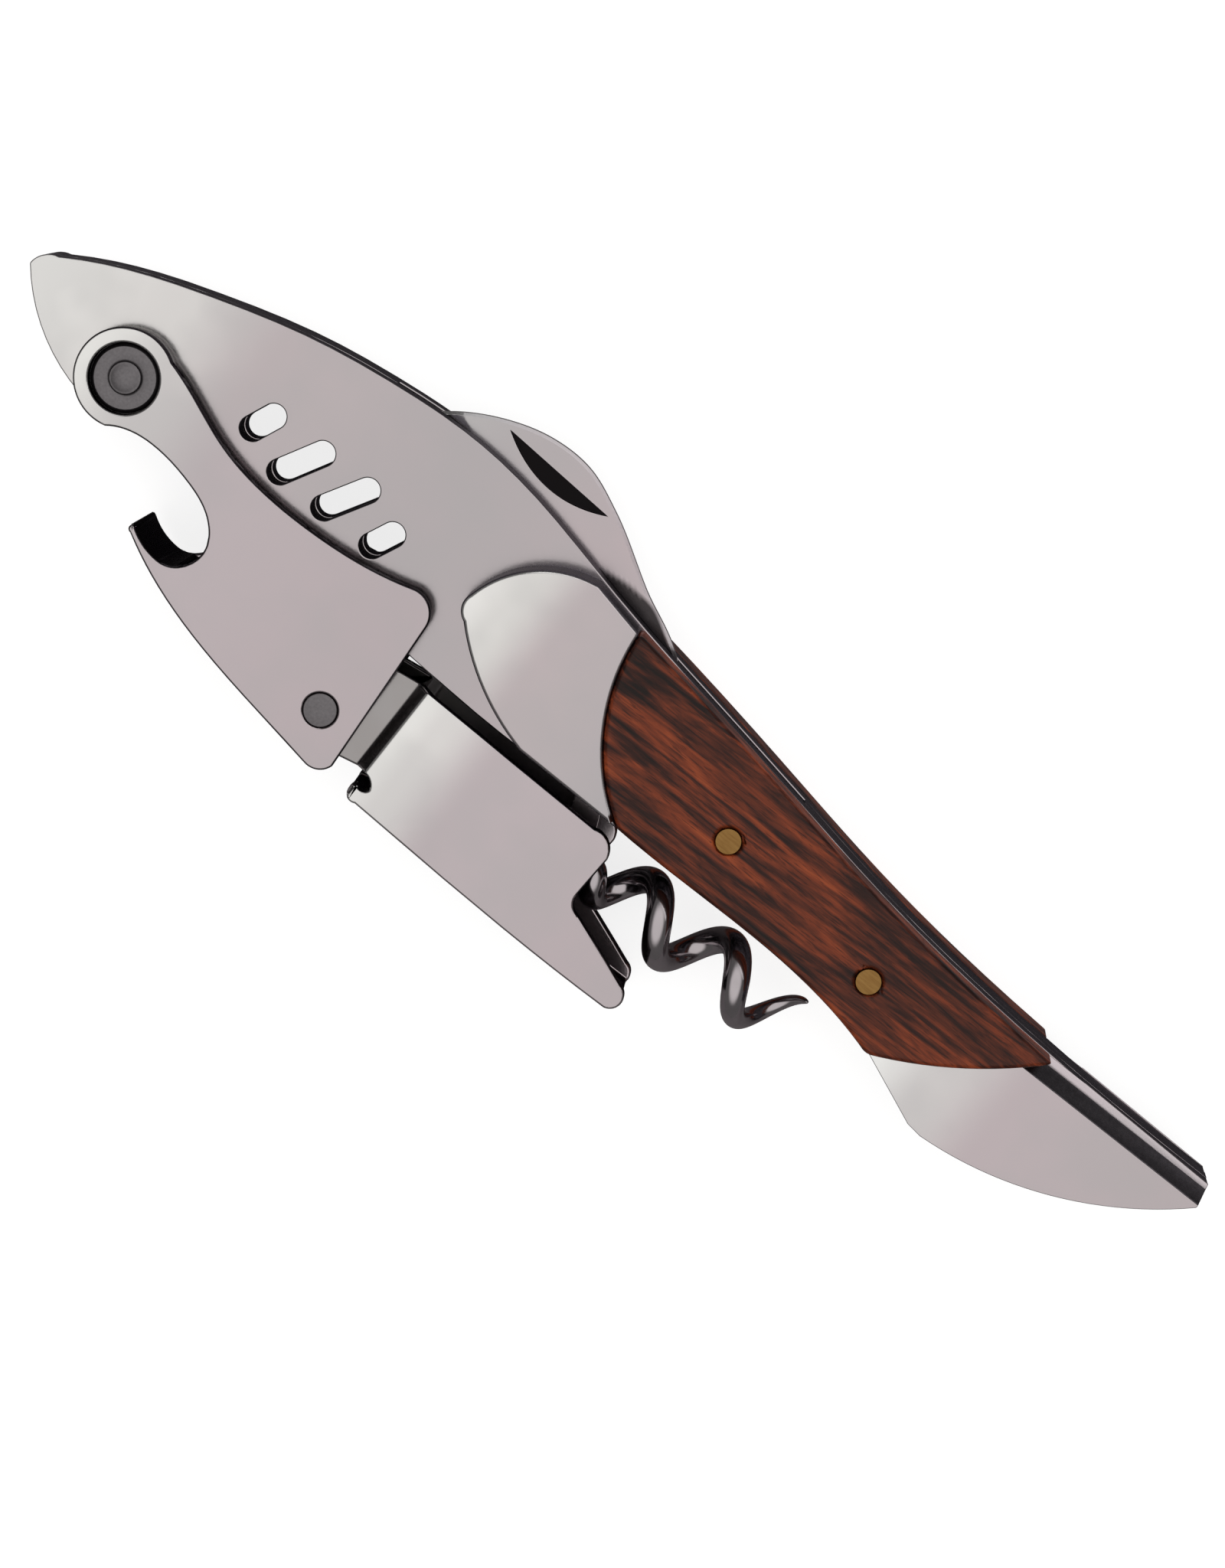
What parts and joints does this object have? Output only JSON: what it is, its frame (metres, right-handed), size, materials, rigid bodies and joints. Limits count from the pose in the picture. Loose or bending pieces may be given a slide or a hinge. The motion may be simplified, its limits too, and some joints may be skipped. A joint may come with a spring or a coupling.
{
  "type": "waiters corkscrew",
  "caption": "Folded waiter's corkscrew: fish-shaped handle with two-stage bottle lever, folding right-hand worm, fin-shaped foil knife and crown-cap lifter.",
  "frame": {"origin": "middle of the bounding box in plan, at the outer face of the rear wooden grip that the closed tool lies on", "axes": "+X from nose to tail, +Y towards the spine and the fin, +Z out of the front side"},
  "size_m": [0.1384, 0.0384, 0.0139],
  "materials": {
    "satin_steel": "satin brushed stainless steel",
    "blackened_steel": "chemically blackened steel, semi-gloss",
    "wood": "oiled red-brown hardwood with dark veins",
    "brass": "brushed brass",
    "worm_nickel": "dark polished nickel",
    "blade_steel": "ground stainless steel"
  },
  "bodies": {
    "handle": {"body_plate_front": "satin_steel", "body_plate_rear": "satin_steel", "nose_spacer": "satin_steel", "belly_spacer": "satin_steel", "tail_spacer": "satin_steel", "bolster_front": "satin_steel", "bolster_rear": "satin_steel", "tail_cap_front": "satin_steel", "tail_cap_rear": "satin_steel", "worm_washers": "satin_steel", "knife_washers": "satin_steel", "bolster_pins": "satin_steel", "tail_pins": "satin_steel", "worm_pivot_pin": "satin_steel", "lever_pivot_pin": "blackened_steel", "lever_bush_front": "blackened_steel", "lever_bush_rear": "blackened_steel", "scale_front": "wood", "scale_rear": "wood", "scale_pin": "brass", "knife_pin": "brass"},
    "upper_lever": {"lever_upper": "satin_steel", "lever_hinge_rivet": "blackened_steel"},
    "lower_lever": {"lever_lower": "satin_steel"},
    "worm_arm": {"worm_carrier": "satin_steel", "worm": "worm_nickel"},
    "knife": {"knife_blade": "blade_steel"}
  },
  "joints": [
    {"name": "upper_lever_swing", "type": "hinge", "parent": "handle", "child": "upper_lever", "pos_m": [-0.0558, -0.00046, 0.00695], "axis": [0, 0, -1], "range_deg": [0, 120]},
    {"name": "lower_lever_fold", "type": "hinge", "parent": "upper_lever", "child": "lower_lever", "pos_m": [-0.0232, -0.01346, 0.00695], "axis": [0, 0, -1], "range_deg": [0, 100]},
    {"name": "worm_fold", "type": "hinge", "parent": "handle", "child": "worm_arm", "pos_m": [0.0005, -0.00306, 0.00695], "axis": [0, 0, -1], "range_deg": [0, 90]},
    {"name": "knife_fold", "type": "hinge", "parent": "handle", "child": "knife", "pos_m": [0.0136, 0.00074, 0.00695], "axis": [0, 0, -1], "range_deg": [0, 95]}
  ],
  "couplings": [
    {"joint": "worm_fold", "follows": "upper_lever_swing", "ratio": 0.75}
  ]
}
